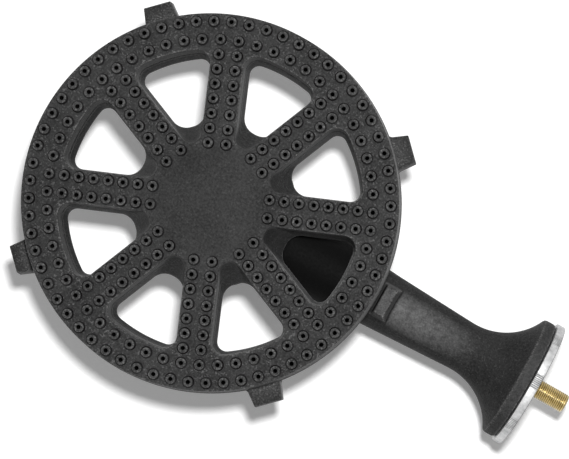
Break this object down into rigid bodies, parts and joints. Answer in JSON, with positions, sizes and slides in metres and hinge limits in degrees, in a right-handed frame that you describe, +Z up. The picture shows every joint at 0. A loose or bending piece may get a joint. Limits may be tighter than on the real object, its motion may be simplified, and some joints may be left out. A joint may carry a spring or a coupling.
{
  "type": "banjo burner",
  "caption": "Cast-iron banjo burner: a flat spoked wheel of drilled ports fed by a side mixer arm with a bell mouth, a screw-in air shutter and a threaded gas inlet.",
  "frame": {"origin": "centre of the plane of the lugs' undersides, which rests on a stand", "axes": "+X along the mixer arm towards the gas inlet, +Z up out of the ports, +Y to the left seen from above with the arm pointing right"},
  "size_m": [0.4085, 0.257, 0.1028],
  "materials": {
    "head_iron": "sand-cast dark grey, matt",
    "arm_iron": "sand-cast dark grey, matt",
    "gasket_fibre": "graphite fibre sheet",
    "zinc_steel": "zinc plated",
    "brass": "turned, bright",
    "shutter_plate": "bright plating over a cast disc",
    "spring_steel": "drawn wire"
  },
  "bodies": {
    "burner": {"burner_head": "head_iron", "mixer_arm": "arm_iron", "hub_gasket": "gasket_fibre", "hub_screws": "zinc_steel", "hub_washers": "zinc_steel", "gas_inlet": "brass", "orifice_jet": "brass", "lock_nut": "brass", "shutter_spring": "spring_steel"},
    "follower": {"follower_washer": "zinc_steel"},
    "shutter": {"air_shutter": "shutter_plate"}
  },
  "joints": [
    {"name": "shutter_travel", "type": "slide", "parent": "burner", "child": "follower", "axis": [1, 0, 0], "range_m": [-0.00071, 0.00847], "deforming": ["shutter_spring"]},
    {"name": "shutter_turn", "type": "hinge", "parent": "follower", "child": "shutter", "pos_m": [0.2475, 0, -0.027], "axis": [1, 0, 0], "range_deg": [-180, 2160]}
  ],
  "couplings": [
    {"joint": "shutter_travel", "follows": "shutter_turn", "m_per_rad": 0.00022458}
  ]
}
